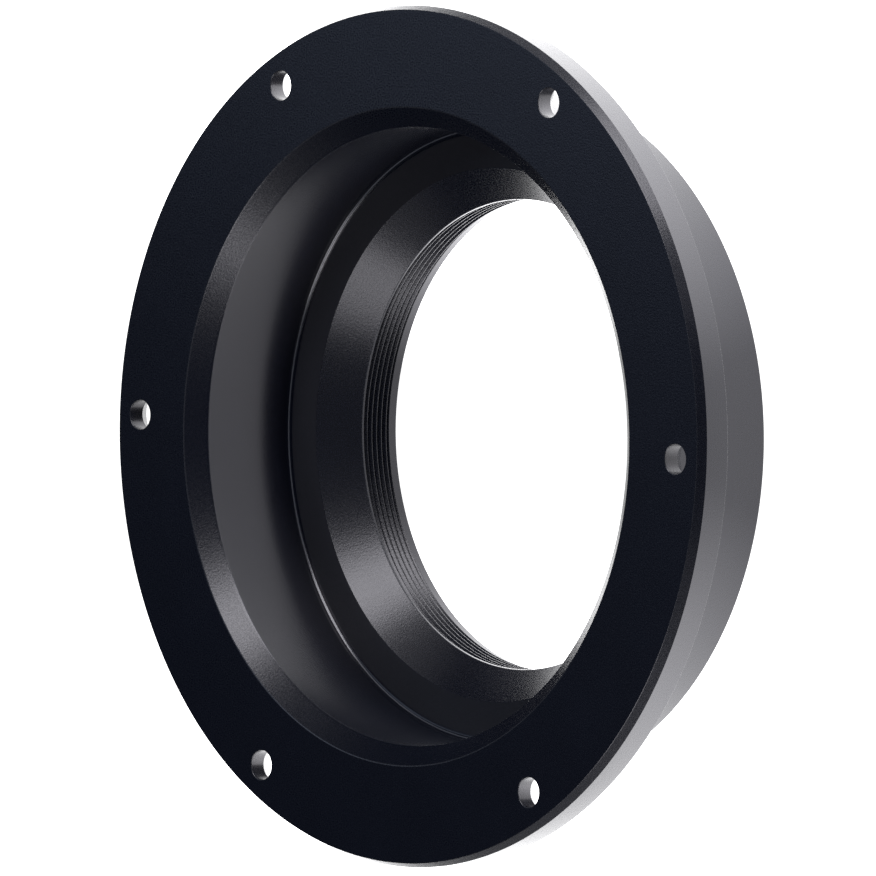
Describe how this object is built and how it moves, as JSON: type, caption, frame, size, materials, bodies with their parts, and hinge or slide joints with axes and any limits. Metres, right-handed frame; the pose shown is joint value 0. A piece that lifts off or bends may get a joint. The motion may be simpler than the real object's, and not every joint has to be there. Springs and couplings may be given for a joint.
{
  "type": "lens mount",
  "caption": "Black turned ring with a wide screw flange, a deep bevelled recess and a fine-threaded nose; bolts to a camera front and takes a lens in its thread.",
  "frame": {"origin": "centre of the flange's mating face, on the optical axis", "axes": "+Z along the optical axis, out of the mating face; +X towards a screw hole; the nose points down (-Z)"},
  "size_m": [0.1, 0.1, 0.0245],
  "materials": {
    "body": "black anodised, satin"
  },
  "bodies": {
    "root": {"mount_body": "body"}
  },
  "joints": []
}
